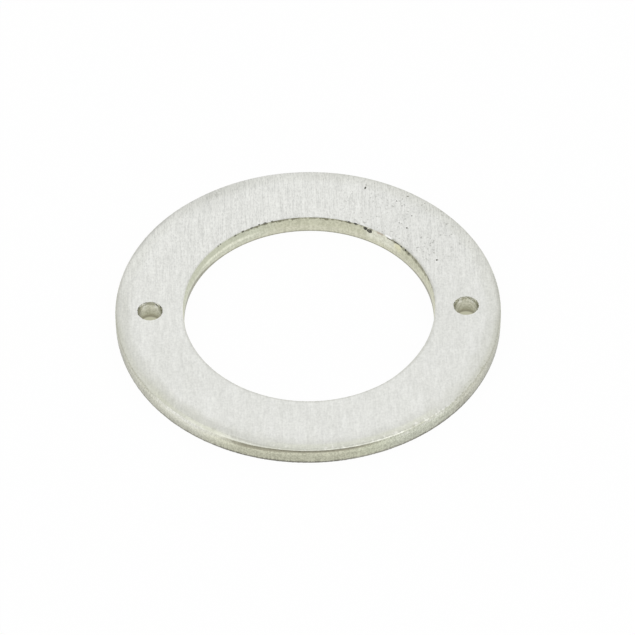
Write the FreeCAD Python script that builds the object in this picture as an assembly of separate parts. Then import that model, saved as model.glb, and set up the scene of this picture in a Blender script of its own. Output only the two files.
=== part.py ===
# Return line gasket: a flat aluminium sealing ring with two small pin holes in its band.
# It is one piece, pressed out of strip. The bore and the pin holes are pierced first and
# the rim is blanked last, the other way up in the metal, so the two kinds of edge are
# opposite: the rim is rolled over on top and broken away below, and each hole is broken
# away on top and rolled over below.
# Millimetres, +Z up. The origin is on the bore's axis, in the plane that the ring rests on,
# and +X runs through a pin hole.

import FreeCAD, Part
import math
import os

from FreeCAD import Rotation, Vector

# The ring
outer_diameter = 32.5
bore_diameter = 21.1
sheet_thickness = 1.6

# The pin holes, spaced evenly round the band
pin_hole_count = 2
pin_hole_diameter = 2.0
pin_hole_inset = 0.055  # from the middle of the band towards the bore

# The rim's edges: rolled over at the top face, broken away at the bottom face
rim_roll_width = 1.4
rim_roll_depth = 0.34
rim_roll_nose = 0.26  # the radius next to the wall, where the roll is tightest
rim_break_height = 0.85
rim_break_taper = 0.03

# The bore's edges: rolled over at the bottom face, broken away at the top face
bore_roll_width = 0.16
bore_roll_depth = 0.08
bore_roll_nose = 0.04
bore_break_height = 0.80
bore_break_taper = 0.12
bore_punch_shift = 0.02  # the punch ran off centre, so the break is taller on one side
bore_punch_shift_angle = 20.0

# The pin holes' edges, as the bore's
pin_roll_width = 0.10
pin_roll_depth = 0.06
pin_roll_nose = 0.03
pin_break_height = 0.30
pin_break_taper = 0.05

# How far a cutting solid runs past the face that it leaves through
overrun = 1.0

outer_radius = outer_diameter / 2
bore_radius = bore_diameter / 2
pin_hole_radius = pin_hole_diameter / 2
pin_hole_circle_radius = (outer_radius + bore_radius) / 2 - pin_hole_inset
axis_up = Vector(0, 0, 1)
on_axis = Vector(0, 0, 0)


def section_point(radius, height):
    return Vector(radius, 0, height)


def straight(start, end):
    return Part.makeLine(start, end)


def short_arc(centre, start, end):
    """The shorter arc between two points that are equally far from the centre."""
    towards_middle = ((start - centre) + (end - centre)).normalize()
    middle = centre + towards_middle * start.distanceToPoint(centre)
    return Part.Arc(start, middle, end).toShape()


def rolled_corner(wall_end, face_end, nose_radius):
    """The roll between an upright wall and a level face, from the wall to the face: a tight nose arc,
    then a shallow arc that is tangent to the nose and to the face."""
    width = abs(face_end.x - wall_end.x)
    depth = abs(face_end.z - wall_end.z)
    into_metal = math.copysign(1, face_end.x - wall_end.x)
    below_face = math.copysign(1, wall_end.z - face_end.z)
    shallow_radius = (width**2 + depth**2 - 2 * width * nose_radius) / (2 * (depth - nose_radius))
    nose_centre = wall_end + Vector(into_metal * nose_radius, 0, 0)
    shallow_centre = face_end + Vector(0, 0, below_face * shallow_radius)
    outward = (nose_centre - shallow_centre).normalize()
    join = shallow_centre + outward * shallow_radius
    return [
        short_arc(nose_centre, wall_end, join),
        short_arc(shallow_centre, join, face_end),
    ]


def turned(edges):
    """The solid that a closed section makes round the Z axis."""
    return Part.Face(Part.Wire(edges)).revolve(on_axis, axis_up, 360)


def blanked_disc():
    """The disc that the rim's cut leaves: rolled over on top, broken away below."""
    foot_centre = section_point(0, 0)
    foot = section_point(outer_radius - rim_break_taper, 0)
    wall_foot = section_point(outer_radius, rim_break_height)
    wall_head = section_point(outer_radius, sheet_thickness - rim_roll_depth)
    roll_end = section_point(outer_radius - rim_roll_width, sheet_thickness)
    head_centre = section_point(0, sheet_thickness)
    return turned(
        [
            straight(foot_centre, foot),
            straight(foot, wall_foot),
            straight(wall_foot, wall_head),
            *rolled_corner(wall_head, roll_end, rim_roll_nose),
            straight(roll_end, head_centre),
            straight(head_centre, foot_centre),
        ]
    )


def pierced_slug(radius, roll_width, roll_depth, roll_nose):
    """What a piercing punch takes out: a cylinder that flares along the rolled edge at the bottom face."""
    head_centre = section_point(0, sheet_thickness + overrun)
    head = section_point(radius, sheet_thickness + overrun)
    wall_foot = section_point(radius, roll_depth)
    roll_end = section_point(radius + roll_width, 0)
    foot = section_point(radius + roll_width, -overrun)
    foot_centre = section_point(0, -overrun)
    return turned(
        [
            straight(head_centre, head),
            straight(head, wall_foot),
            *rolled_corner(wall_foot, roll_end, roll_nose),
            straight(roll_end, foot),
            straight(foot, foot_centre),
            straight(foot_centre, head_centre),
        ]
    )


def break_cone(radius, break_height, break_taper, shift):
    """The cone that a hole's wall breaks away to, up to the top face. It is carried on down until it is
    inside the hole even where it is shifted sideways, and on up past the face."""
    slope = break_taper / break_height
    foot_radius = radius - shift - break_taper
    head_radius = radius + break_taper + slope * overrun
    foot_height = sheet_thickness - break_height - (radius - foot_radius) / slope
    head_height = sheet_thickness + overrun
    return Part.makeCone(
        foot_radius,
        head_radius,
        head_height - foot_height,
        section_point(0, foot_height),
        axis_up,
    )


def pierce_bore(disc):
    slug = pierced_slug(bore_radius, bore_roll_width, bore_roll_depth, bore_roll_nose)
    cone = break_cone(bore_radius, bore_break_height, bore_break_taper, bore_punch_shift)
    cone.translate(Rotation(axis_up, bore_punch_shift_angle) * Vector(bore_punch_shift, 0, 0))
    return disc.cut(slug).cut(cone)


def pierce_pin_holes(ring):
    for number in range(pin_hole_count):
        slug = pierced_slug(pin_hole_radius, pin_roll_width, pin_roll_depth, pin_roll_nose)
        cone = break_cone(pin_hole_radius, pin_break_height, pin_break_taper, 0)
        turn = Rotation(axis_up, number * 360 / pin_hole_count)
        centre = turn * Vector(pin_hole_circle_radius, 0, 0)
        for cutter in (slug, cone):
            cutter.translate(centre)
            ring = ring.cut(cutter)
    return ring


def gasket_ring():
    return pierce_pin_holes(pierce_bore(blanked_disc()))


os.makedirs("parts", exist_ok=True)
gasket_ring().exportStep("parts/gasket_ring.step")
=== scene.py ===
# Return line gasket: the looks of a flat pressed aluminium ring. Metres, +Z up.
import math

import bpy
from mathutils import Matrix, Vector


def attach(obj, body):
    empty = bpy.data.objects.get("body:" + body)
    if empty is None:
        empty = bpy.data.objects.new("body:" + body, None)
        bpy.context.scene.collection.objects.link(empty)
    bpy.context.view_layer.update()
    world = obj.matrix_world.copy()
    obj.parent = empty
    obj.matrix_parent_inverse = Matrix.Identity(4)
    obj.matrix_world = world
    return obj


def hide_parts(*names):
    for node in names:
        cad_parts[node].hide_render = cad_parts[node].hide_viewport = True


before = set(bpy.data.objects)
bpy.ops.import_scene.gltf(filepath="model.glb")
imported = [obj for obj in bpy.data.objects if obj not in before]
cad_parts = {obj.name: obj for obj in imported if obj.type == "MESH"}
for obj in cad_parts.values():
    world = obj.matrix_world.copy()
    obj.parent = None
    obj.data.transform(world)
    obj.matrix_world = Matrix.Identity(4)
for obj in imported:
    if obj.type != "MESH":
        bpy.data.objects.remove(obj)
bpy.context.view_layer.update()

mm = 0.001


# Small helpers

def makeActive(piece):
    bpy.ops.object.select_all(action="DESELECT")
    piece.select_set(True)
    bpy.context.view_layer.objects.active = piece


def selectFaces(piece, test):
    # leaves the piece in edit mode with only the faces that pass the test selected
    makeActive(piece)
    bpy.ops.object.mode_set(mode="EDIT")
    bpy.ops.mesh.select_mode(type="FACE")
    bpy.ops.mesh.select_all(action="DESELECT")
    bpy.ops.object.mode_set(mode="OBJECT")
    for face in piece.data.polygons:
        face.select = test(face.center, face.normal)
    bpy.ops.object.mode_set(mode="EDIT")


def applyModifiers(piece):
    makeActive(piece)
    for modifier in list(piece.modifiers):
        bpy.ops.object.modifier_apply(modifier=modifier.name)


def radiusOf(point):
    return math.hypot(point.x, point.y) / mm


def heightOf(point):
    return point.z / mm


def azimuthGap(point, azimuth):
    # degrees round the axis from an azimuth, 0 to 180
    gap = abs(math.degrees(math.atan2(point.y, point.x)) - azimuth) % 360
    return min(gap, 360 - gap)


def fade(value, full, none):
    # 1 at full and past it, 0 at none and past it, smooth between
    share = min(max((value - none) / (full - none), 0), 1)
    return share * share * (3 - 2 * share)


# Node helpers. They build in the tree that was put on the bench last.

bench = {"tree": None}


def addNode(kind, **settings):
    node = bench["tree"].nodes.new(kind)
    for name, value in settings.items():
        setattr(node, name, value)
    return node


def feed(node, socket, source):
    # a number or colour is set on the socket, an output is linked to it
    if isinstance(source, bpy.types.NodeSocket):
        bench["tree"].links.new(source, node.inputs[socket])
    else:
        node.inputs[socket].default_value = source


def mathNode(operation, first, second=0.0, clamp=False):
    node = addNode("ShaderNodeMath", operation=operation, use_clamp=clamp)
    feed(node, 0, first)
    feed(node, 1, second)
    return node.outputs[0]


def product(*factors):
    result = factors[0]
    for factor in factors[1:]:
        result = mathNode("MULTIPLY", result, factor)
    return result


def rangeNode(value, fromLow, fromHigh, toLow=0.0, toHigh=1.0, smooth=True):
    node = addNode("ShaderNodeMapRange", interpolation_type="SMOOTHSTEP" if smooth else "LINEAR")
    sockets = ("Value", "From Min", "From Max", "To Min", "To Max")
    for socket, source in zip(sockets, (value, fromLow, fromHigh, toLow, toHigh)):
        feed(node, socket, source)
    return node.outputs["Result"]


def mixColours(share, first, second, blend="MIX"):
    # sockets 6 and 7 are the two colours, and output 2 is the mixed one
    node = addNode("ShaderNodeMix", data_type="RGBA", blend_type=blend)
    feed(node, 0, share)
    for socket, colour in ((6, first), (7, second)):
        feed(node, socket, colour if isinstance(colour, bpy.types.NodeSocket) else (*colour, 1))
    return node.outputs[2]


def tinted(share, colour, tint):
    # the colour times a tint, as far as share goes
    return mixColours(share, colour, tint, "MULTIPLY")


def noiseNode(place, perMetre, detail=2.0, roughness=0.5, stretch=None):
    # a noise, drawn out along each axis whose stretch is under 1
    if stretch:
        mapping = addNode("ShaderNodeMapping")
        feed(mapping, "Vector", place)
        feed(mapping, "Scale", stretch)
        place = mapping.outputs["Vector"]
    node = addNode("ShaderNodeTexNoise")
    feed(node, "Vector", place)
    feed(node, "Scale", perMetre)
    feed(node, "Detail", detail)
    feed(node, "Roughness", roughness)
    return node.outputs["Fac"]


def weighedSum(shares, *values):
    total = product(values[0], shares[0])
    for value, share in zip(values[1:], shares[1:]):
        total = mathNode("ADD", total, product(value, share))
    return total


def vectorNode(operation, first, second=(0, 0, 0), output="Vector"):
    node = addNode("ShaderNodeVectorMath", operation=operation)
    feed(node, 0, first)
    feed(node, 1, second)
    return node.outputs[output]


def flattened(place):
    return vectorNode("MULTIPLY", place, (1, 1, 0))


def arcMask(place, azimuth, halfWidth, soft):
    # 1 within halfWidth degrees of an azimuth, 0 from soft degrees further on
    flat = vectorNode("NORMALIZE", flattened(place))
    towards = (math.cos(math.radians(azimuth)), math.sin(math.radians(azimuth)), 0)
    along = vectorNode("DOT_PRODUCT", flat, towards, "Value")
    outside = math.cos(math.radians(min(halfWidth + soft, 180)))
    return rangeNode(along, outside, math.cos(math.radians(halfWidth)))


def bandMask(place, where, value, span):
    # an arc round the axis, where a height or a radius lies in a span
    return product(arcMask(place, *where), rangeNode(value, *span))


def marked(place, colour, row, *values):
    # a mark on an arc, where each value lies in its span: mixed in as a colour or multiplied as a tint
    share = arcMask(place, *row["arc"])
    for value, span in zip(values, row.get("spans", [])):
        share = product(share, rangeNode(value, *span))
    if "share" in row:
        share = product(share, row["share"])
    if "tint" in row:
        return tinted(share, colour, row["tint"])
    return mixColours(share, colour, row["colour"])


def wobble(value, noise, amount):
    # the value, made uneven by a noise
    swing = mathNode("MULTIPLY", mathNode("SUBTRACT", noise, 0.5), amount)
    return mathNode("ADD", value, swing)


spotCore = 0.25  # as a share of the radius


def spotMask(place, centre, radius, ragged):
    # a soft round spot in the XY plane, in millimetres, its outline ragged by a noise, full in its core
    middle = (centre[0] * mm, centre[1] * mm, 0)
    away = vectorNode("DISTANCE", flattened(place), middle, "Value")
    away = wobble(away, ragged, radius * mm)
    return rangeNode(away, radius * mm, radius * spotCore * mm)


def heightNode(place):
    # the height above the floor, in millimetres
    parts = addNode("ShaderNodeSeparateXYZ")
    feed(parts, 0, place)
    return mathNode("MULTIPLY", parts.outputs["Z"], 1 / mm)


def radiusNode(place):
    # the distance from the axis, in millimetres
    flat = vectorNode("MULTIPLY", place, (1 / mm, 1 / mm, 0))
    return vectorNode("LENGTH", flat, output="Value")


def alongNode(place, axis):
    # the distance along an axis, in millimetres
    return vectorNode("DOT_PRODUCT", place, tuple(part / mm for part in axis), "Value")


def startMetal(name, roughness):
    material = bpy.data.materials.new(name)
    material.use_nodes = True
    bench["tree"] = material.node_tree
    shader = material.node_tree.nodes["Principled BSDF"]
    shader.inputs["Metallic"].default_value = 1.0
    shader.inputs["Roughness"].default_value = roughness
    place = addNode("ShaderNodeTexCoord").outputs["Object"]
    return material, shader, place


def finishMetal(shader, colour, bumps, depth):
    feed(shader, "Base Color", colour)
    node = addNode("ShaderNodeBump")
    feed(node, "Strength", 1.0)
    feed(node, "Distance", depth)
    feed(node, "Height", bumps)
    feed(shader, "Normal", node.outputs["Normal"])


# The bore lies a little off the rim's centre, in millimetres

boreShift = {"X": 0.050, "Y": -0.040}


# Mill finished sheet: a fine grain along Y, coarser at the back, with painted shade on the rolled rim and
# painted highlights and glints along its nose.
# In each look an arc is an azimuth, a half width and a softness in degrees. A span is where an
# effect starts and where it is full, a height or a radius in millimetres. Levels are a span of a
# noise, and where there are four, the last two are the shares at its ends.

sheetLook = {
    "colour": (0.895, 0.90, 0.864),
    "roughness": 0.32,
    "roughnessSwing": 0.03,
    "fineGrain": {"perMetre": 6500, "detail": 3, "roughness": 0.65, "stretch": (1.1, 0.2, 1)},
    "coarseGrain": {"perMetre": 1950, "stretch": (1, 0.12, 1)},
    "speckle": {"perMetre": 5200, "roughness": 0.6},
    "grainShares": (0.45, 0.15, 0.4),
    "grainLevels": (0.37, 0.63),
    "grainDark": (0.745, 0.75, 0.717),
    "grainDepth": 0.000003,
    "backSpan": (-6, 10),
    "frontTint": (0.97, 0.97, 0.97),
    "backTint": (1.006, 1.006, 1.006),
    "right": {"arc": (18, 28, 30), "tint": (0.975, 0.975, 0.975)},
    "shortLines": {"perMetre": 13650, "detail": 1, "roughness": 0.6, "stretch": (1, 0.22, 1)},
    "longLines": {"perMetre": 12350, "detail": 0, "stretch": (1, 0.03, 1)},
    "lineShares": (0.62, 0.38),
    "lineLevels": (0.52, 0.39),
    "lineTint": (0.86, 0.86, 0.86),
    "mottle": {"perMetre": 900, "detail": 3, "roughness": 0.6, "stretch": (1, 0.5, 1)},
    "mottleLevels": (0.35, 0.65),
    "mottleAtBack": 0.3,
    "mottleTint": (0.975, 0.975, 0.97),
    "rollSpan": (14.6, 15.6),
    "rollUneven": 0.9,
    # painted shade on the roll
    "rollShadeTint": (0.95, 0.95, 0.937),
    # where painted shade darkens the whole roll, and at one place a faint painted highlight lightens it:
    # azimuth, half width, tint
    "paintedRollShades": [
        (190, 11, (0.92, 0.92, 0.91)),
        (224, 5, (0.96, 0.96, 0.94)),
        (243, 5, (1.02, 1.02, 1.01)),
        (20, 60, (0.985, 0.985, 0.98)),
        (106, 26, (0.975, 0.975, 0.975)),
    ],
    "rollShadeSoftness": 14,
    # where painted shade darkens the roll's nose, at one place only yellowing it: azimuth, half width, the
    # height that it starts from, tint
    "paintedNoseShades": [
        (203, 13, 1.575, (0.945, 0.945, 0.905)),
        (229, 7, 1.52, (0.945, 0.95, 0.90)),
        (250, 7, 1.54, (1.0, 1.0, 0.96)),
        (338, 13, 1.575, (0.90, 0.90, 0.86)),
        (160, 24, 1.555, (0.86, 0.86, 0.85)),
        (144, 3, 1.565, (0.89, 0.89, 0.89)),
        (-2, 9, 1.555, (0.88, 0.88, 0.87)),
        (42, 36, 1.565, (0.925, 0.925, 0.91)),
    ],
    "noseShadeSoftness": 10,
    "noseShadeDrop": 0.06,
    # painted highlight: a short bright stretch on the roll's nose at the front left
    "paintedHighlight": {
        "arc": (238, 4, 6),
        "spans": [(1.46, 1.38), (0.35, 0.6, 0.15, 0.55)],
        "colour": (0.97, 0.97, 0.90),
    },
    "blotches": {"perMetre": 2600},
    # painted highlight: a light line and bright glints along the nose at the front
    "paintedLightLine": {"arc": (284, 20, 12), "spans": [(1.585, 1.55)], "tint": (1.045, 1.05, 0.985)},
    "paintedGlints": {
        "arc": (284, 20, 12),
        "spans": [(1.585, 1.55), (0.56, 0.66), (1.57, 1.53)],
        "share": 0.75,
        "colour": (0.97, 0.97, 0.90),
    },
    "ragged": {"arc": (318, 14, 10), "spans": [(1.50, 1.42)], "tint": (0.80, 0.80, 0.75)},
    "raggedUneven": 0.4,
    # where the bore's edge is worn: azimuth, half width, how far out, share
    "wornArcs": [(30, 17, 10.98, 1.0), (147, 17, 10.83, 0.65), (350, 6, 10.90, 0.55), (262, 70, 10.90, 0.65)],
    "wornSoftness": 12,
    "wornFull": 10.69,
    "wornTint": (0.78, 0.78, 0.75),
    "dots": {"perMetre": 3575, "detail": 1},
    "specks": {"arc": (50, 16, 16), "spans": [(0.66, 0.72)], "tint": (0.72, 0.72, 0.71)},
    # painted highlight on the burr
    "burrHighlight": {"arc": (49.6, 1.2, 1.2), "spans": [(10.88, 10.80)], "colour": (0.97, 0.97, 0.95)},
    # centre, radius
    "smudges": [((-9.0, 13.6), 3.2), ((-6.0, 15.0), 2.4), ((-7.9, 13.9), 1.1), ((-11.52, -10.29), 0.32)],
    "smudgeLevels": (0.3, 0.7),
    "smudgeTint": (0.84, 0.84, 0.83),
}


def milledSheet():
    look = sheetLook
    material, shader, place = startMetal("milledSheet", look["roughness"])
    height, radius = heightNode(place), radiusNode(place)
    fine = noiseNode(place, **look["fineGrain"])
    coarse = noiseNode(place, **look["coarseGrain"])
    speckle = noiseNode(place, **look["speckle"])
    grain = weighedSum(look["grainShares"], fine, coarse, speckle)
    bright = rangeNode(grain, *look["grainLevels"], smooth=False)
    colour = mixColours(bright, look["grainDark"], look["colour"])
    # the back is brighter and shows fine lines, and the front is more mottled
    back = rangeNode(alongNode(place, (0, 1, 0)), *look["backSpan"])
    colour = tinted(1.0, colour, mixColours(back, look["frontTint"], look["backTint"]))
    colour = marked(place, colour, look["right"])
    short = noiseNode(place, **look["shortLines"])
    long = noiseNode(place, **look["longLines"])
    lines = rangeNode(weighedSum(look["lineShares"], short, long), *look["lineLevels"])
    colour = tinted(product(lines, back), colour, look["lineTint"])
    mottle = noiseNode(place, **look["mottle"])
    fading = rangeNode(back, 0, 1, 1.0, look["mottleAtBack"])
    cloudy = product(rangeNode(mottle, *look["mottleLevels"]), fading)
    colour = tinted(cloudy, colour, look["mottleTint"])
    # painted shade: the roll is darker than the face
    rolled = rangeNode(wobble(radius, mottle, look["rollUneven"]), *look["rollSpan"])
    colour = tinted(1.0, colour, mixColours(rolled, (1, 1, 1), look["rollShadeTint"]))
    for azimuth, halfWidth, tint in look["paintedRollShades"]:
        around = arcMask(place, azimuth, halfWidth, look["rollShadeSoftness"])
        colour = tinted(product(rolled, around), colour, tint)
    # a painted highlight on one short stretch of its nose, and painted shade on others
    colour = marked(place, colour, look["paintedHighlight"], height, coarse)
    for azimuth, halfWidth, start, tint in look["paintedNoseShades"]:
        where = (azimuth, halfWidth, look["noseShadeSoftness"])
        shaded = bandMask(place, where, height, (start, start - look["noseShadeDrop"]))
        colour = tinted(shaded, colour, tint)
    # painted highlight: a light line and bright glints along the nose at the front
    blotches = noiseNode(place, **look["blotches"])
    colour = marked(place, colour, look["paintedLightLine"], height)
    colour = marked(place, colour, look["paintedGlints"], height, blotches, height)
    # and ragged at the front right, where the rim's colour climbs over it
    colour = marked(place, colour, look["ragged"], wobble(height, blotches, look["raggedUneven"]))
    # the bore's edge is worn, most of all on both sides
    middle = (boreShift["X"] * mm, boreShift["Y"] * mm, 0)
    away = vectorNode("DISTANCE", flattened(place), middle, "Value")
    away = mathNode("DIVIDE", away, mm)
    for azimuth, halfWidth, reach, strength in look["wornArcs"]:
        where = (azimuth, halfWidth, look["wornSoftness"])
        worn = bandMask(place, where, away, (reach, look["wornFull"]))
        colour = tinted(product(worn, strength), colour, look["wornTint"])
    # dark specks at the back right
    colour = marked(place, colour, look["specks"], noiseNode(place, **look["dots"]))
    # painted highlight on the burr at the bore's edge
    colour = marked(place, colour, look["burrHighlight"], radius)
    for centre, spotRadius in look["smudges"]:
        spot = spotMask(place, centre, spotRadius, mottle)
        spot = product(spot, rangeNode(speckle, *look["smudgeLevels"]))
        colour = tinted(spot, colour, look["smudgeTint"])
    # the bright grain is the smoother
    rough, smooth = look["roughness"] + look["roughnessSwing"], look["roughness"] - look["roughnessSwing"]
    feed(shader, "Roughness", rangeNode(bright, 0, 1, rough, smooth))
    finishMetal(shader, colour, grain, look["grainDepth"])
    return material


# The rim's sheared wall: burnished under the roll, broken and duller below, with painted shade at its foot
# and on its sides, a painted highlight on one stretch and a painted dark line under the roll

rimLook = {
    "broken": (0.60, 0.60, 0.51),
    "land": (0.70, 0.70, 0.60),
    "landSpan": (0.76, 0.98),
    "landUneven": 0.5,
    "roughness": 0.42,
    "scores": {"perMetre": 6500, "roughness": 0.6, "stretch": (1, 1, 0.3)},
    "mottle": {"perMetre": 6500, "detail": 3, "roughness": 0.65},
    "patches": {"perMetre": 700, "stretch": (1, 1, 1.5)},
    "textureShares": (0.25, 0.75),
    "textureDepth": 0.000003,
    # painted highlight on the land under the roll at the front left, with bright streaks
    "highlightArc": (231, 4, 15),
    "highlightSpan": (0.2, 1.25),
    "highlightColour": (0.84, 0.84, 0.74),
    "highlightSmooth": 0.5,
    "highlightStreaks": {
        "arc": (231, 4, 15),
        "spans": [(1.02, 1.2), (0.4, 0.6, 0.5, 1.0)],
        "colour": (0.98, 0.98, 0.91),
    },
    "torn": {"arc": (319, 8, 8), "spans": [(0.52, 0.64), (1.1, 0.8)], "tint": (0.74, 0.74, 0.70)},
    "right": {"arc": (300, 10, 12), "spans": [(0.15, 0.4)], "tint": (1.055, 1.085, 1.075)},
    # painted glints under the roll
    "paintedGlints": {
        "arc": (313, 13, 9),
        "spans": [(0.50, 0.60), (1.05, 1.25)],
        "share": 0.6,
        "colour": (0.95, 0.95, 0.88),
    },
    "front": {"arc": (266, 18, 16), "tint": (1.0, 1.0, 0.93)},
    # painted shade at the wall's foot
    "footSpan": (0.28, 0.08),
    "footUneven": 0.25,
    "foot": (0.36, 0.355, 0.305),
    # where the painted shade at the foot is darker still: arc, share
    "darkFeet": [((260, 12, 12), 1.0), ((318, 10, 12), 0.9)],
    "darkFootTint": (0.70, 0.69, 0.68),
    # painted shade on the walls at the sides
    "sideArcs": [(-4, 14, 13), (186, 6, 12)],
    "sideShadeTint": (0.87, 0.87, 0.86),
    "speckleLevels": (0.60, 0.40),
    "speckleTint": (0.715, 0.715, 0.70),
    # painted reflection: a dark line under the roll, where the dark front is mirrored
    "paintedDarkLine": {
        "arc": (267, 15, 11),
        "spans": [(1.20, 1.27), (1.54, 1.47)],
        "share": 0.74,
        "colour": (0.34, 0.32, 0.24),
    },
    "darkLineDropArc": (238, 8, 20),
    "darkLineDrop": 0.17,
}


def shearedRim():
    look = rimLook
    material, shader, place = startMetal("shearedRim", look["roughness"])
    height = heightNode(place)
    scores = noiseNode(place, **look["scores"])
    mottle = noiseNode(place, **look["mottle"])
    patches = noiseNode(place, **look["patches"])
    land = rangeNode(wobble(height, patches, look["landUneven"]), *look["landSpan"])
    colour = mixColours(land, look["broken"], look["land"])
    # painted highlight: one stretch of the land is painted bright, with bright streaks
    paintedHighlight = bandMask(place, look["highlightArc"], height, look["highlightSpan"])
    colour = mixColours(paintedHighlight, colour, look["highlightColour"])
    colour = marked(place, colour, look["highlightStreaks"], height, scores)
    # dark patches where the front right broke away
    colour = marked(place, colour, look["torn"], patches, height)
    # the front right is brighter, with painted glints as bright flecks under the roll
    colour = marked(place, colour, look["right"], height)
    colour = marked(place, colour, look["paintedGlints"], patches, height)
    colour = marked(place, colour, look["front"])
    # painted shade at the foot, darker still on two arcs
    foot = rangeNode(wobble(height, mottle, look["footUneven"]), *look["footSpan"])
    colour = mixColours(foot, colour, look["foot"])
    for where, strength in look["darkFeet"]:
        darker = product(foot, arcMask(place, *where), strength)
        colour = tinted(darker, colour, look["darkFootTint"])
    # painted shade on the sides
    for where in look["sideArcs"]:
        colour = tinted(arcMask(place, *where), colour, look["sideShadeTint"])
    # dark speckles, fewer where the highlight is painted
    texture = weighedSum(look["textureShares"], scores, mottle)
    rough = mathNode("SUBTRACT", 1.0, product(paintedHighlight, look["highlightSmooth"]))
    speckles = product(rangeNode(texture, *look["speckleLevels"]), rough)
    colour = tinted(speckles, colour, look["speckleTint"])
    # painted reflection: the dark line under the roll, standing in for the mirrored dark front, drops as it
    # runs into the deep part
    drop = product(arcMask(place, *look["darkLineDropArc"]), look["darkLineDrop"])
    dropped = mathNode("ADD", height, drop)
    colour = marked(place, colour, look["paintedDarkLine"], dropped, dropped)
    finishMetal(shader, colour, texture, look["textureDepth"])
    return material


# The bore's wall: burnished below and broken away above, with a thin dark torn edge under the top face,
# painted shade at its foot and a painted highlight along one ridge

boreLook = {
    "land": (0.715, 0.71, 0.57),
    "broken": (0.70, 0.70, 0.55),
    "roughness": 0.42,
    "scores": {"perMetre": 4800, "roughness": 0.6, "stretch": (1, 1, 0.3)},
    "mottle": {"perMetre": 4800, "detail": 3, "roughness": 0.65},
    "ragged": {"perMetre": 5200, "detail": 3, "roughness": 0.6, "stretch": (1, 1, 0.4)},
    "clumps": {"perMetre": 2100, "stretch": (1, 1, 0.3)},
    "textureShares": (0.3, 0.7),
    "textureDepth": 0.000005,
    # heights above the break's foot
    "breakSpan": (-0.04, 0.06),
    "breakUneven": 0.2,
    "left": {"arc": (142, 26, 16), "spans": [(0.0, 0.5)], "tint": (0.985, 1.012, 1.04)},
    "dots": {"arc": (140, 14, 10), "spans": [(0.05, 0.2), (0.50, 0.60)], "tint": (0.84, 0.84, 0.82)},
    # painted highlight along the ridge between the break and the land
    "ridgeHighlight": {"arc": (131, 7, 14), "spans": [(-0.22, 0.0), (0.26, 0.06)], "colour": (0.90, 0.91, 0.765)},
    "upper": {"arc": (53, 4, 7), "spans": [(0.3, 0.95)], "colour": (0.84, 0.84, 0.72)},
    # the painted shade at the foot: its height at the back, and how much taller it is on the flanks
    "footHeight": 0.26,
    "flankRise": 0.4,
    "backArc": (84, 42, 34),
    "footFade": 0.16,
    "foot": (0.42, 0.415, 0.33),
    "speckleLevels": (0.60, 0.40),
    "speckleTint": (0.80, 0.80, 0.78),
    "stain": {"arc": (43.5, 1.0, 1.8), "spans": [(0.7, 1.1)], "share": 0.5, "colour": (0.93, 0.90, 0.62)},
    "stainUneven": 1.6,
    "tornArc": (65, 47, 22),
    "tornHeight": 0.15,
    "tornShare": 0.76,
    "deepTornArc": (31, 9, 4),
    "deepTornHeight": 0.31,
    "deepTornShare": 0.66,
    "tornSpan": (-0.05, 0.05),
    "tornUneven": 0.40,
    "tornClumps": 0.35,
    "clumpLevels": (0.36, 0.60, 0.6, 1.08),
    "notchArc": (54, 3, 2),
    "notchShare": 0.12,
    "torn": (0.175, 0.168, 0.11),
    "rust": {"arc": (54.2, 1.2, 1.0), "spans": [(1.36, 1.44)], "share": 0.75, "colour": (0.50, 0.42, 0.34)},
    "rustUneven": 0.3,
}


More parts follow.
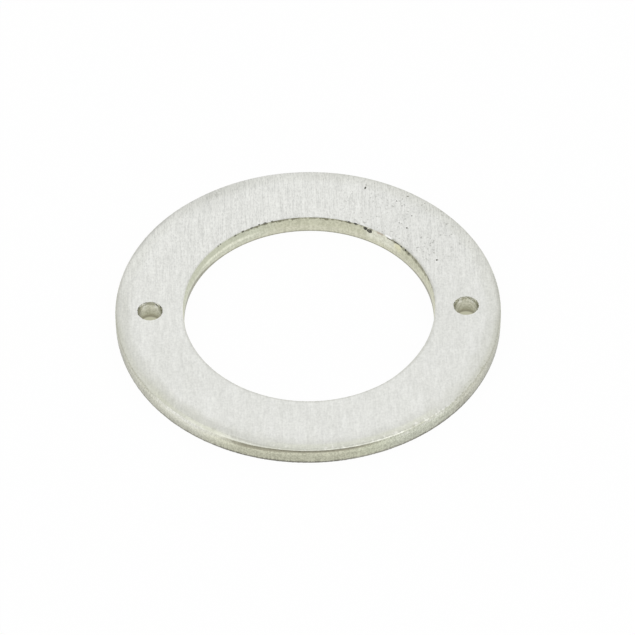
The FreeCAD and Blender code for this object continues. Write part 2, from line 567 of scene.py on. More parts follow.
def shearedBore():
    look, shape = boreLook, ringShape
    material, shader, place = startMetal("shearedBore", look["roughness"])
    height = heightNode(place)
    scores = noiseNode(place, **look["scores"])
    mottle = noiseNode(place, **look["mottle"])
    ragged = noiseNode(place, **look["ragged"])
    clumps = noiseNode(place, **look["clumps"])
    texture = weighedSum(look["textureShares"], scores, mottle)
    # the break's foot follows the same lean as the mesh's
    lean = shape["boreBreakLean"] / 2
    towards = math.radians(shape["punchAzimuth"])
    slope = lean / (shape["boreRadius"] * mm)
    uphill = (slope * math.cos(towards), slope * math.sin(towards), 0)
    drop = vectorNode("DOT_PRODUCT", place, uphill, "Value")
    foot = mathNode("SUBTRACT", shape["thickness"] - shape["boreBreakHeight"] - lean, drop)
    above = mathNode("SUBTRACT", wobble(height, ragged, look["breakUneven"]), foot)
    colour = mixColours(rangeNode(above, *look["breakSpan"]), look["land"], look["broken"])
    colour = marked(place, colour, look["left"], height)
    colour = marked(place, colour, look["dots"], above, mottle)
    # painted highlight along the ridge between the break and the land
    colour = marked(place, colour, look["ridgeHighlight"], above, above)
    colour = marked(place, colour, look["upper"], height)
    # painted shade at the foot, taller on both flanks
    flank = mathNode("SUBTRACT", 1.0, arcMask(place, *look["backArc"]))
    footTop = mathNode("ADD", look["footHeight"], product(flank, look["flankRise"]))
    footDepth = mathNode("SUBTRACT", footTop, height)
    colour = mixColours(rangeNode(footDepth, 0, look["footFade"]), colour, look["foot"])
    colour = tinted(rangeNode(texture, *look["speckleLevels"]), colour, look["speckleTint"])
    colour = marked(place, colour, look["stain"], wobble(height, mottle, look["stainUneven"]))
    # the torn edge is deeper and paler on the right
    deep = arcMask(place, *look["deepTornArc"])
    deeper = product(deep, look["tornHeight"] - look["deepTornHeight"])
    edge = mathNode("ADD", deeper, shape["thickness"] - look["tornHeight"])
    uneven = wobble(wobble(height, ragged, look["tornUneven"]), clumps, look["tornClumps"])
    over = mathNode("SUBTRACT", uneven, edge)
    paler = rangeNode(deep, 0, 1, look["tornShare"], look["deepTornShare"])
    torn = bandMask(place, look["tornArc"], over, look["tornSpan"])
    torn = product(torn, paler, rangeNode(clumps, *look["clumpLevels"]))
    # and it is all but gone beside the notch
    notch = rangeNode(arcMask(place, *look["notchArc"]), 0, 1, 1.0, look["notchShare"])
    colour = mixColours(product(torn, notch), colour, look["torn"])
    colour = marked(place, colour, look["rust"], wobble(height, ragged, look["rustUneven"]))
    finishMetal(shader, colour, texture, look["textureDepth"])
    return material


# The pin holes' walls. A turn is 0 at the front and the back of a hole, and 1 at its sides. Painted shade
# darkens the walls towards the bottom, on the sides and at the foot, and a painted highlight lies between.

pinLook = {
    # painted shade: the wall is darker towards the bottom of the hole
    "low": (0.40, 0.395, 0.28),
    "head": (0.90, 0.895, 0.76),
    "headSpan": (0.1, 1.45),
    "roughness": 0.45,
    "grains": {"perMetre": 4200, "detail": 3, "roughness": 0.6},
    "grainLevels": (0.62, 0.38),
    "grainTint": (0.76, 0.76, 0.73),
    "grainDepth": 0.00001,
    "ragged": {"perMetre": 3600, "stretch": (1, 1, 0.3)},
    # painted highlight on the wall between its front and its sides
    "wallHighlightFrom": (0.25, 0.5),
    "wallHighlightTo": (0.8, 0.6),
    "wallHighlightSpan": (0.9, 1.3),
    "wallHighlightShare": 0.8,
    "wallHighlight": (0.97, 0.97, 0.88),
    # painted shade on the sides
    "flankTurns": (0.74, 0.98),
    "flankShadeTint": (0.62, 0.62, 0.58),
    "tornSpan": (1.52, 1.60),
    "tornUneven": 0.6,
    "tornShares": (0.88, 0.15),  # in the left hole and in the right
    "torn": (0.20, 0.195, 0.155),
    # painted shade at the foot
    "footSpan": (0.20, 0.08),
    "foot": (0.33, 0.315, 0.22),
}


def shearedPinHole():
    look = pinLook
    material, shader, place = startMetal("shearedPinHole", look["roughness"])
    height = heightNode(place)
    grains = noiseNode(place, **look["grains"])
    ragged = noiseNode(place, **look["ragged"])
    # painted shade: darker towards the bottom of the hole
    rising = rangeNode(height, *look["headSpan"], smooth=False)
    colour = mixColours(rising, look["low"], look["head"])
    local = vectorNode("ABSOLUTE", flattened(place))
    local = vectorNode("SUBTRACT", local, (pinShape["circleRadius"] * mm, 0, 0))
    local = vectorNode("NORMALIZE", local)
    turn = mathNode("ABSOLUTE", vectorNode("DOT_PRODUCT", local, (1, 0, 0), "Value"))
    # painted highlight on the wall between its front and its sides
    wallHighlight = rangeNode(turn, *look["wallHighlightFrom"])
    wallHighlight = product(wallHighlight, rangeNode(turn, *look["wallHighlightTo"]))
    wallHighlight = product(wallHighlight, rangeNode(height, *look["wallHighlightSpan"]), look["wallHighlightShare"])
    colour = mixColours(wallHighlight, colour, look["wallHighlight"])
    # painted shade on the sides
    colour = tinted(rangeNode(turn, *look["flankTurns"]), colour, look["flankShadeTint"])
    colour = tinted(rangeNode(grains, *look["grainLevels"]), colour, look["grainTint"])
    # the torn edge is weaker in the right hole
    weaker = rangeNode(alongNode(place, (1, 0, 0)), -1, 1, *look["tornShares"])
    torn = rangeNode(wobble(height, ragged, look["tornUneven"]), *look["tornSpan"])
    colour = mixColours(product(torn, weaker), colour, look["torn"])
    # painted shade at the foot
    colour = mixColours(rangeNode(height, *look["footSpan"]), colour, look["foot"])
    finishMetal(shader, colour, grains, look["grainDepth"])
    return material


# The oxide in the pits, paler on the bore's left edge

pitLook = {
    "dark": (0.10, 0.10, 0.09),
    "light": (0.36, 0.355, 0.30),
    "roughness": 0.6,
    "grains": {"perMetre": 9000},
    "grainLevels": (0.38, 0.62),
    "grainDepth": 0.00001,
    "left": {"arc": (122, 22, 6), "spans": [(11.4, 11.2)], "share": 0.55, "colour": (0.48, 0.475, 0.40)},
}


def pitOxide():
    look = pitLook
    material, shader, place = startMetal("pitOxide", look["roughness"])
    grains = noiseNode(place, **look["grains"])
    colour = mixColours(rangeNode(grains, *look["grainLevels"]), look["dark"], look["light"])
    colour = marked(place, colour, look["left"], radiusNode(place))
    finishMetal(shader, colour, grains, look["grainDepth"])
    return material


# The ring: its section is drawn from one vertex and turned about Z. Millimetres and degrees.

ringShape = {
    "outerRadius": 16.25,
    "boreRadius": 10.55,
    "thickness": 1.6,
    "rimRollWidth": 1.4,
    "rimRollDepth": 0.34,
    "rimRollNose": 0.26,
    "rimBreakHeight": 0.85,
    "rimBreakTaper": 0.03,
    "boreRollWidth": 0.16,
    "boreRollDepth": 0.08,
    "boreRollNose": 0.04,
    "boreBreakHeight": 0.67,  # opposite the punch's side, before it leans
    "boreBreakLean": 0.27,
    "boreBreakTaper": 0.12,
    "punchShift": 0.02,
    "punchAzimuth": 20,
    "turnSteps": 1024,
    # edge loops, this far in from the foot and the two edges of the face
    "footInset": 0.1,
    "faceInset": 0.6,
    "edgeInset": 0.06,
    # how many pieces each stretch of the section has
    "footSteps": 3,
    "wallSteps": 8,
    "landSteps": 7,
    "noseSteps": 14,
    "rollSteps": 8,
    "faceSteps": 2,
    "edgeSteps": 4,
    "crease": 32,
}

# Which faces are walls: from what radius and height, and how far from level. Past the last they are level.
ringWalls = {
    "rimRadius": 16.13,
    "rimHeight": 1.44,
    "rimSlope": 0.8,
    "boreRadius": 10.69,
    "boreSlope": 0.9,
    "levelSlope": 0.99999,
}

pinShape = {
    "radius": 0.985,
    "circleRadius": 13.345,
    "offsetX": -0.026,
    "offsetY": -0.03,
    "rollWidth": 0.10,
    "rollDepth": 0.06,
    "rollNose": 0.03,
    "breakHeight": 0.17,
    "breakTaper": 0.085,
    "tearSpan": (1.55, 1.3),
    "tearPush": {"strength": 0.05, "grain": 0.16, "midLevel": 0.5},
    "turnSteps": 160,
    "headSteps": 3,
    "breakSteps": 6,
    "wallSteps": 8,
    "overrun": 0.4,
}

ringMaterials = [milledSheet(), shearedRim(), shearedBore(), shearedPinHole(), pitOxide()]
sheetSlot, rimSlot, boreSlot, pinSlot, pitSlot = range(5)
weldDistance = 0.0000004  # closes the seam and the poles
lipSteps = 3
print("materials made")


def lineTo(points, end, steps=1):
    # adds a straight stretch, from the last point to end
    start = points[-1]
    points += [tuple(a + (b - a) * i / steps for a, b in zip(start, end)) for i in range(1, steps + 1)]


def arc(centre, radius, fromAngle, toAngle, steps):
    # points after the first of an arc in the section, degrees from the radial direction
    angles = [math.radians(fromAngle + (toAngle - fromAngle) * i / steps) for i in range(1, steps + 1)]
    return [(centre[0] + radius * math.cos(a), centre[1] + radius * math.sin(a)) for a in angles]


def shallowRoll(width, depth, nose):
    # the radius and the lean of the arc between a tight nose and the flat face
    radius = (width**2 + depth**2 - 2 * width * nose) / (2 * (depth - nose))
    return radius, math.degrees(math.asin((width - nose) / (radius - nose)))


def lip(points, radius, width, depth, nose):
    # adds the roll at the lower edge of a hole
    shallow, lean = shallowRoll(width, depth, nose)
    points += arc((radius + nose, depth), nose, 180, 270 - lean, lipSteps)
    points += arc((radius + width, shallow), shallow, 270 - lean, 270, lipSteps)


def ringSection(shape):
    outer, bore, thick = shape["outerRadius"], shape["boreRadius"], shape["thickness"]
    width, depth, nose = shape["rimRollWidth"], shape["rimRollDepth"], shape["rimRollNose"]
    shallow, lean = shallowRoll(width, depth, nose)
    points = [(bore + shape["boreRollWidth"], 0)]
    lineTo(points, (outer - shape["rimBreakTaper"] - shape["footInset"], 0), shape["footSteps"])
    lineTo(points, (outer - shape["rimBreakTaper"], 0))
    lineTo(points, (outer, shape["rimBreakHeight"]), shape["wallSteps"])
    lineTo(points, (outer, thick - depth), shape["landSteps"])
    points += arc((outer - nose, thick - depth), nose, 0, 90 - lean, shape["noseSteps"])
    points += arc((outer - width, thick - shallow), shallow, 90 - lean, 90, shape["rollSteps"])
    lineTo(points, (bore + shape["faceInset"], thick), shape["faceSteps"])
    lineTo(points, (bore + shape["boreBreakTaper"] + shape["edgeInset"], thick), shape["edgeSteps"])
    lineTo(points, (bore + shape["boreBreakTaper"], thick))
    lineTo(points, (bore, thick - shape["boreBreakHeight"]), shape["wallSteps"])
    lineTo(points, (bore, shape["boreRollDepth"]), shape["wallSteps"])
    lip(points, bore, shape["boreRollWidth"], shape["boreRollDepth"], shape["boreRollNose"])
    return points[:-1]


def turnSection(name, points, steps, closed):
    # the points, radius and height, are drawn as one chain that the Screw modifier carries round the axis
    bpy.ops.object.select_all(action="DESELECT")
    bpy.ops.mesh.primitive_plane_add(size=mm)
    piece = bpy.context.object
    piece.name = name
    bpy.ops.object.mode_set(mode="EDIT")
    bpy.ops.mesh.select_mode(type="VERT")
    bpy.ops.mesh.select_all(action="SELECT")
    bpy.ops.mesh.merge(type="CENTER")
    here = Vector((points[0][0] * mm, 0, points[0][1] * mm))
    bpy.ops.transform.translate(value=here)
    for radius, height in points[1:]:
        there = Vector((radius * mm, 0, height * mm))
        bpy.ops.mesh.extrude_vertices_move(TRANSFORM_OT_translate={"value": there - here})
        here = there
    if closed:
        bpy.ops.mesh.select_all(action="SELECT")
        bpy.ops.mesh.edge_face_add()
        bpy.ops.mesh.delete(type="ONLY_FACE")
    bpy.ops.object.mode_set(mode="OBJECT")
    screw = piece.modifiers.new("turn", "SCREW")
    screw.steps = screw.render_steps = steps
    screw.use_merge_vertices = True
    screw.merge_threshold = weldDistance
    applyModifiers(piece)
    bpy.ops.object.mode_set(mode="EDIT")
    bpy.ops.mesh.select_all(action="SELECT")
    bpy.ops.mesh.remove_doubles(threshold=weldDistance)
    bpy.ops.mesh.normals_make_consistent(inside=False)
    bpy.ops.object.mode_set(mode="OBJECT")
    return piece


leastWeight = 0.001


def nudge(piece, weigh, strength, direction="NORMAL", grain=None, midLevel=0.0):
    # pushes the weighed vertices, evenly or by a cloud pattern of the given grain in millimetres
    group = piece.vertex_groups.new(name="weighed")
    for vertex in piece.data.vertices:
        weight = weigh(vertex.co)
        if weight > leastWeight:
            group.add([vertex.index], weight, "REPLACE")
    push = piece.modifiers.new("push", "DISPLACE")
    push.vertex_group = "weighed"
    push.direction = direction
    push.strength = strength * mm
    push.mid_level = midLevel
    if grain:
        pattern = bpy.data.textures.new("clouds", "CLOUDS")
        pattern.noise_scale = grain * mm
        pattern.noise_depth = 2
        pattern.contrast = 1.8
        push.texture = pattern
        push.texture_coords = "LOCAL"
    applyModifiers(piece)
    piece.vertex_groups.remove(piece.vertex_groups["weighed"])


def paint(piece, slot, test):
    selectFaces(piece, test)
    piece.active_material_index = slot
    bpy.ops.object.material_slot_assign()
    bpy.ops.object.mode_set(mode="OBJECT")


ring = turnSection("gasketRing", ringSection(ringShape), ringShape["turnSteps"], True)
for material in ringMaterials:
    ring.data.materials.append(material)


def onRim(centre, normal):
    low = heightOf(centre) < ringWalls["rimHeight"]
    return low and radiusOf(centre) > ringWalls["rimRadius"] and abs(normal.z) < ringWalls["rimSlope"]


def onBore(centre, normal):
    return radiusOf(centre) < ringWalls["boreRadius"] and abs(normal.z) < ringWalls["boreSlope"]


paint(ring, rimSlot, onRim)
paint(ring, boreSlot, onBore)
print("ring turned", len(ring.data.polygons))


# The marks of the press and of wear. Each function weighs a point from 0 to 1. An arc is an azimuth and
# the half widths where a mark is full and where it has gone, in degrees. A span is the height or radius
# where it is full and where it has gone, in millimetres. A push has its depth, and the grain and mid level
# of its cloud pattern, or else its depth along each axis.

marks = {
    "wallReach": 10.675,  # how far out the bore's wall goes
    "topTouch": 0.001,  # how near a point on a face lies to it
    "edgeTouch": 0.01,
    "floorTouch": 0.02,
    "edgeReach": 10.69,
    "breakReach": 10.75,
    "shiftReach": 10.8,
    "tearArc": (boreLook["tornArc"][0], 50, 66),
    "tearSpan": (1.5, 1.3),
    "tearPush": {"strength": 0.05, "grain": 0.16, "midLevel": 0.8},
    "breakSpan": (1.25, 1.0),
    "breakAtEdge": 0.5,
    "breakPush": {"strength": 0.03, "grain": 0.22, "midLevel": 0.6},
    "rimWall": 16.2,
    "rimBreakSpan": (0.5, 0.9),
    "rimBreakPush": {"strength": 0.02, "grain": 0.16, "midLevel": 0.5},
    "rimFootWall": 16.1,
    "rimFootSpan": (0.02, 0.12),
    "rimFootPush": {"strength": 0.015, "grain": 0.18, "midLevel": 1.0},
    "rollRadius": 14.9,
    "noseRadius": 15.9,
    "noseHeight": 1.2,
    "nosePush": {"strength": 0.012, "grain": 0.5, "midLevel": 0.5},
    "glintHeight": 1.3,
    "glintArc": (293, 22, 32),
    "glintPush": {"strength": 0.02, "grain": 0.13, "midLevel": 0.5},
    "deepArc": (231, 11, 29),
    "deepDrop": 0.33,
    "deepPull": 0.34,
    "pullSpan": (16.0, 14.85),
    "burrArc": (49.6, 1.4, 2.6),
    "burrRadii": (10.76, 10.84),
    "burrHeights": (1.59, 1.4),
    "burrPush": {"Z": 0.035, "X": -0.06, "Y": -0.07},
    "boreSpan": (10.8, 12.2),
    "narrowArc": (336, 8, 34),
    "narrowPush": {"X": -0.085, "Y": 0.038},
    "wideArc": (160, 20, 42),
    "wideSpan": (16.0, 14.2),
    "widePush": {"X": -0.055},
}


def onArc(point, name):
    azimuth, full, none = marks[name]
    return fade(azimuthGap(point, azimuth), full, none)


def inHeights(point, name):
    return fade(heightOf(point), *marks[name])


def inRadii(point, name):
    return fade(radiusOf(point), *marks[name])


def breakLean(point):
    # from 0 on the roll and on the top face to full at the break's foot, and most on the punch's side
    low, high = ringShape["boreRollDepth"], ringShape["thickness"]
    height = heightOf(point)
    if radiusOf(point) > marks["wallReach"] or not low < height < high - marks["topTouch"]:
        return 0
    foot = high - ringShape["boreBreakHeight"]
    profile = min((height - low) / (foot - low), (high - height) / (high - foot))
    return profile * (1 + math.cos(math.radians(azimuthGap(point, ringShape["punchAzimuth"])))) / 2


def breakShift(point):
    foot = ringShape["thickness"] - ringShape["boreBreakHeight"]
    if radiusOf(point) > marks["shiftReach"]:
        return 0
    return max((heightOf(point) - foot) / ringShape["boreBreakHeight"], 0)


def boreTear(point):
    # strongest under the top face, on the arc where the metal tore
    if radiusOf(point) > marks["edgeReach"]:
        return 0
    return onArc(point, "tearArc") * inHeights(point, "tearSpan")


def boreBreak(point):
    if radiusOf(point) > marks["breakReach"]:
        return 0
    onEdge = heightOf(point) >= ringShape["thickness"] - marks["edgeTouch"]
    return inHeights(point, "breakSpan") * (marks["breakAtEdge"] if onEdge else 1)


def rimBreak(point):
    return inHeights(point, "rimBreakSpan") if radiusOf(point) > marks["rimWall"] else 0


def rimFoot(point):
    return inHeights(point, "rimFootSpan") if radiusOf(point) > marks["rimFootWall"] else 0


def rollNose(point):
    return 1 if radiusOf(point) > marks["noseRadius"] and heightOf(point) > marks["noseHeight"] else 0


def noseSlope(point):
    # sine and cosine of the slope along the roll's nose, 1 and 0 on the wall, 0 and 1 on the face
    shape = ringShape
    head = shape["thickness"] - shape["rimRollDepth"]
    sine = 1 - (shape["outerRadius"] - radiusOf(point)) / shape["rimRollNose"]
    return min(max(sine, 0), 1), min(max((heightOf(point) - head) / shape["rimRollNose"], 0), 1)


def deepDrop(point):
    # the roll is deeper and rounder at the front left
    if radiusOf(point) <= marks["noseRadius"] or heightOf(point) < marks["floorTouch"]:
        return 0
    down = min(heightOf(point) / (ringShape["thickness"] - ringShape["rimRollDepth"]), 1)
    return onArc(point, "deepArc") * down * (1 - noseSlope(point)[1])


def deepPull(point):
    if radiusOf(point) < marks["rollRadius"] or heightOf(point) < marks["noseHeight"]:
        return 0
    inwards = inRadii(point, "pullSpan")
    return onArc(point, "deepArc") * (1 - noseSlope(point)[0]) * inwards


def pullX(point):
    return deepPull(point) * max(-point.x, 0) / mm / radiusOf(point)


def pullY(point):
    return deepPull(point) * max(-point.y, 0) / mm / radiusOf(point)


def burr(point):
    # a sliver of metal stands up on the bore's edge
    inner = inRadii(point, "burrRadii") * inHeights(point, "burrHeights")
    return inner * onArc(point, "burrArc")


def glints(point):
    # small burrs along the nose catch the light
    if radiusOf(point) < marks["noseRadius"] or heightOf(point) < marks["glintHeight"]:
        return 0
    return onArc(point, "glintArc")


def boreOffset(point):
    return inRadii(point, "boreSpan")


def narrowBreak(point):
    # the bore's break hardly widens at the front right
    return breakShift(point) * onArc(point, "narrowArc")


def wideFlank(point):
    return inRadii(point, "wideSpan") * onArc(point, "wideArc")


def shift(piece, weigh, depths):
    # pushes along each axis in turn
    for axis, depth in depths.items():
        nudge(piece, weigh, depth, axis)


# the punch ran off centre, so the bore's break is taller and wider on one side
punchTurn = math.radians(ringShape["punchAzimuth"])
nudge(ring, breakShift, ringShape["punchShift"] * math.cos(punchTurn), "X")
nudge(ring, breakShift, ringShape["punchShift"] * math.sin(punchTurn), "Y")
nudge(ring, breakLean, -ringShape["boreBreakLean"], "Z")
nudge(ring, boreTear, **marks["tearPush"])
nudge(ring, boreBreak, **marks["breakPush"])
nudge(ring, rimBreak, **marks["rimBreakPush"])
nudge(ring, rimFoot, **marks["rimFootPush"])
nudge(ring, rollNose, **marks["nosePush"])
nudge(ring, pullX, marks["deepPull"], "X")
nudge(ring, pullY, marks["deepPull"], "Y")
nudge(ring, deepDrop, -marks["deepDrop"], "Z")
nudge(ring, glints, **marks["glintPush"])
shift(ring, burr, marks["burrPush"])
shift(ring, boreOffset, boreShift)
shift(ring, narrowBreak, marks["narrowPush"])
shift(ring, wideFlank, marks["widePush"])
print("breaks roughened")


# The pin holes: each cutter is a slug with the roll at its foot and a ragged break at its head

def pinSection(shape):
    radius, thick, over = shape["radius"], ringShape["thickness"], shape["overrun"]
    taper = shape["breakTaper"] / shape["breakHeight"]
    points = [(0, thick + over), (radius + shape["breakTaper"] + taper * over, thick + over)]
    lineTo(points, (radius + shape["breakTaper"], thick), shape["headSteps"])
    lineTo(points, (radius, thick - shape["breakHeight"]), shape["breakSteps"])
    lineTo(points, (radius, shape["rollDepth"]), shape["wallSteps"])
    lip(points, radius, shape["rollWidth"], shape["rollDepth"], shape["rollNose"])
    points += [(radius + shape["rollWidth"], -over), (0, -over)]
    return points


def joined(pieces):
    makeActive(pieces[0])
    for piece in pieces:
        piece.select_set(True)
    if len(pieces) > 1:
        bpy.ops.object.join()
    return bpy.context.object


def cutAway(piece, cutter):
    makeActive(piece)
    difference = piece.modifiers.new("cut", "BOOLEAN")
    difference.operation = "DIFFERENCE"
    difference.solver = "MANIFOLD"
    difference.object = cutter
    applyModifiers(piece)
    bpy.data.objects.remove(cutter)


def moveMesh(piece, place):
    # moved in its mesh, so that the object stays at the origin
    makeActive(piece)
    bpy.ops.object.mode_set(mode="EDIT")
    bpy.ops.mesh.select_all(action="SELECT")
    bpy.ops.transform.translate(value=[value * mm for value in place])
    bpy.ops.object.mode_set(mode="OBJECT")


cutters = []
for side in (1, -1):
    cutter = turnSection("pinCutter", pinSection(pinShape), pinShape["turnSteps"], False)
    for material in ringMaterials:
        cutter.data.materials.append(material)
    paint(cutter, pinSlot, lambda centre, normal: True)
    moveMesh(cutter, (side * pinShape["circleRadius"] + pinShape["offsetX"], pinShape["offsetY"], 0))
    nudge(cutter, lambda point: fade(heightOf(point), *pinShape["tearSpan"]), **pinShape["tearPush"])
    cutters.append(cutter)
cutAway(ring, joined(cutters))
print("pin holes cut", len(ring.data.polygons))


# Pits, nicks and a scratch. Each row: x, y, z, then half length, half width and half depth, and the turn.

ringDamage = {
    "pits": [
        (5.11, 14.00, 1.6, 0.17, 0.075, 0.06, 70),
        (10.99, 5.35, 1.6, 0.10, 0.08, 0.06, 20),
        (8.72, 12.96, 1.6, 0.10, 0.08, 0.06, 40),
        (10.15, 12.09, 1.6, 0.11, 0.07, 0.06, 0),
        (8.54, 9.17, 1.6, 0.08, 0.07, 0.05, 0),
        (7.75, 12.39, 1.6, 0.06, 0.05, 0.04, 0),
        (8.20, 11.80, 1.6, 0.06, 0.05, 0.04, 0),
        (9.00, 10.60, 1.6, 0.055, 0.05, 0.04, 0),
        (7.90, 9.80, 1.6, 0.05, 0.05, 0.04, 0),
        (5.36, 9.20, 1.28, 0.25, 0.12, 0.19, 150),
        (5.02, 9.40, 1.40, 0.22, 0.10, 0.16, 140),
        (6.99, 8.04, 1.46, 0.26, 0.06, 0.045, 139),
        (7.66, 7.47, 1.52, 0.36, 0.04, 0.06, 134),
        (8.02, 7.10, 1.50, 0.11, 0.07, 0.08, 131),
        (8.36, 6.66, 1.50, 0.14, 0.10, 0.12, 128),
        (8.66, 6.28, 1.45, 0.12, 0.05, 0.07, 126),
        (-12.785, 0.765, 1.465, 0.145, 0.055, 0.075, 143),
        (-7.56, 7.45, 1.56, 0.08, 0.05, 0.07, 45),
        (-7.35, 7.66, 1.56, 0.06, 0.04, 0.06, 44),
        (-6.08, 8.69, 1.53, 0.12, 0.06, 0.10, 35),
        (-5.42, 9.14, 1.54, 0.13, 0.07, 0.11, 31),
        (-4.67, 9.54, 1.53, 0.16, 0.07, 0.11, 26),
        (-4.03, 9.88, 1.56, 0.11, 0.06, 0.10, 22),
        (-3.53, 10.07, 1.56, 0.15, 0.07, 0.10, 19),
        (-2.90, 10.27, 1.56, 0.13, 0.06, 0.09, 15),
        (3.64, 10.04, 1.55, 0.13, 0.05, 0.08, 160),
        (4.20, 9.82, 1.54, 0.20, 0.06, 0.09, 156),
    ],
    "pitUneven": 0.03,
    "scratches": [(0.65, -12.45, 1.604, 1.55, 0.04, 0.016, 90)],
    "scratchUneven": 0.004,
    "grain": 0.12,
}


def damageCutter(rows, slot, unevenness):
    bpy.ops.object.select_all(action="DESELECT")
    parts = []
    for x, y, z, length, width, depth, turn in rows:
        bpy.ops.mesh.primitive_ico_sphere_add(
            subdivisions=3,
            radius=mm,
            location=(x * mm, y * mm, z * mm),
            rotation=(0, 0, math.radians(turn)),
            scale=(length, width, depth),
        )
        parts.append(bpy.context.object)
    cutter = joined(parts)
    bpy.ops.object.transform_apply(location=True, rotation=True, scale=True)
    for material in ringMaterials:
        cutter.data.materials.append(material)
    paint(cutter, slot, lambda centre, normal: True)
    nudge(cutter, lambda point: 1, unevenness, grain=ringDamage["grain"], midLevel=0.5)
    return cutter


cutAway(ring, damageCutter(ringDamage["pits"], pitSlot, ringDamage["pitUneven"]))
cutAway(ring, damageCutter(ringDamage["scratches"], sheetSlot, ringDamage["scratchUneven"]))
print("damage cut", len(ring.data.polygons))

# the level faces are flat and the rest is smooth up to the crease, in degrees
makeActive(ring)
bpy.ops.object.shade_smooth_by_angle(angle=math.radians(ringShape["crease"]))
selectFaces(ring, lambda centre, normal: abs(normal.z) > ringWalls["levelSlope"])
bpy.ops.mesh.faces_shade_flat()
bpy.ops.object.mode_set(mode="OBJECT")

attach(ring, "root")
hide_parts("gasket_ring")
print("ring finished")


# The studio: a white floor under a plain bright sky, with a dark front and a bright card on each side

studio = {
    "floorSize": 4.0,
    "floorWhite": 0.97,
    "floorColour": (0.96, 0.96, 0.95),
    "underRing": (0.49, 0.485, 0.36),
    "underEdge": (0.25, 0.24, 0.17),
    "underFrom": (10.6, 11.2),
    "underTo": (16.1, 15.6),
    "underEdgeSpan": (0.76, 0.94),
    # elevation, brightness
    "skyByElevation": [
        (0, 0.80), (15, 0.86), (30, 0.95), (41, 1.02), (50, 1.03),
        (58, 0.93), (66, 0.70), (78, 0.64), (90, 0.68),
    ],
    "frontDark": 0.55,
    "frontArc": (268, 20, 26),
    "frontElevations": (42, 26),
    # bright cards: azimuth, half width, lowest and highest elevation, strength
    "cards": [(210, 10, 38, 56, 0.10), (328, 13, 38, 56, 0.35), (308, 11, 52, 76, 0.60)],
    "cardSoftness": 13,
    "cardFade": 6,
}

bpy.ops.object.select_all(action="DESELECT")
bpy.ops.mesh.primitive_plane_add(size=studio["floorSize"])
floor = bpy.context.object
floor.name = "floor"


def floorPaint():
    material = bpy.data.materials.new("whiteFloor")
    material.use_nodes = True
    bench["tree"] = material.node_tree
    bench["tree"].nodes.clear()
    place = addNode("ShaderNodeTexCoord").outputs["Object"]
    path = addNode("ShaderNodeLightPath")
    matt = addNode("ShaderNodeBsdfDiffuse")
    feed(matt, "Color", (*studio["floorColour"], 1))
    white = addNode("ShaderNodeEmission")
    feed(white, "Strength", 1.0)
    seen = mathNode("ADD", path.outputs["Is Camera Ray"], path.outputs["Is Glossy Ray"], clamp=True)
    glowing = product(seen, studio["floorWhite"])
    # painted shadow: under the ring the floor's colour for camera rays is darkened, as if lit only through
    # the pin holes
    away = radiusNode(place)
    covered = rangeNode(away, *studio["underFrom"])
    covered = product(covered, rangeNode(away, *studio["underTo"]), path.outputs["Is Camera Ray"])
    # and the painted shadow is darkest next to their walls
    distances = []
    for side in (-1, 1):
        centre = (side * pinShape["circleRadius"] + pinShape["offsetX"], pinShape["offsetY"], 0)
        centre = tuple(value * mm for value in centre)
        distances.append(vectorNode("DISTANCE", place, centre, "Value"))
    nearest = mathNode("MINIMUM", *distances)
    edge = rangeNode(nearest, *(value * mm for value in studio["underEdgeSpan"]))
    under = mixColours(edge, studio["underRing"], studio["underEdge"])
    feed(white, "Color", mixColours(covered, (1, 1, 1), under))
    mix = addNode("ShaderNodeMixShader")
    feed(mix, 0, glowing)
    feed(mix, 1, matt.outputs[0])
    feed(mix, 2, white.outputs[0])
    feed(addNode("ShaderNodeOutputMaterial"), "Surface", mix.outputs[0])
    return material


floor.data.materials.append(floorPaint())


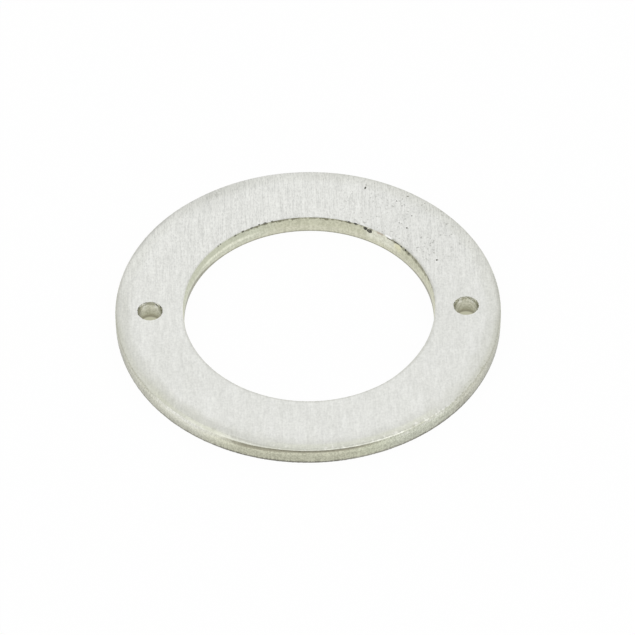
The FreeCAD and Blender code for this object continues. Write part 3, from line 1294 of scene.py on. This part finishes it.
def sky():
    world = bpy.data.worlds.new("studioSky")
    bpy.context.scene.world = world
    world.use_nodes = True
    bench["tree"] = world.node_tree
    bench["tree"].nodes.clear()
    path = addNode("ShaderNodeLightPath")
    direction = addNode("ShaderNodeTexCoord").outputs["Generated"]
    parts = addNode("ShaderNodeSeparateXYZ")
    feed(parts, 0, direction)
    elevation = mathNode("MULTIPLY", mathNode("ARCSINE", parts.outputs["Z"]), 180 / math.pi)
    ramp = addNode("ShaderNodeValToRGB")
    stops = studio["skyByElevation"]
    while len(ramp.color_ramp.elements) < len(stops):
        ramp.color_ramp.elements.new(0.5)
    for element, (angle, level) in zip(ramp.color_ramp.elements, stops):
        element.position = angle / 90
        element.color = (level, level, level, 1)
    feed(ramp, "Fac", rangeNode(elevation, 0, 90, smooth=False))
    front = bandMask(direction, studio["frontArc"], elevation, studio["frontElevations"])
    level = mathNode("SUBTRACT", ramp.outputs["Color"], product(front, studio["frontDark"]))
    fading = studio["cardFade"]
    for azimuth, halfWidth, lowest, highest, strength in studio["cards"]:
        band = rangeNode(elevation, lowest - fading, lowest + fading)
        band = product(band, rangeNode(elevation, highest + fading, highest - fading))
        card = product(arcMask(direction, azimuth, halfWidth, studio["cardSoftness"]), band)
        level = mathNode("ADD", level, product(card, strength))
    level = mathNode("MAXIMUM", level, path.outputs["Is Camera Ray"])
    background = addNode("ShaderNodeBackground")
    feed(background, "Color", (1, 1, 1, 1))
    feed(background, "Strength", level)
    feed(addNode("ShaderNodeOutputWorld"), "Surface", background.outputs[0])


sky()

# The camera stands where the photograph was taken from

cameraView = {
    "place": (-5.235, -530.131, 563.175),
    "turn": (43.29099, 0.36779, -1.03842),
    "lens": 518.72,
    "sensor": 36,
    "near": 0.01,
    "far": 10,
}

bpy.ops.object.camera_add(
    location=[value * mm for value in cameraView["place"]],
    rotation=[math.radians(value) for value in cameraView["turn"]],
)
camera = bpy.context.object
camera.data.lens = cameraView["lens"]
camera.data.sensor_width = cameraView["sensor"]
camera.data.clip_start = cameraView["near"]
camera.data.clip_end = cameraView["far"]
bpy.context.scene.camera = camera
bpy.context.scene.view_settings.view_transform = "Standard"
print("studio made")
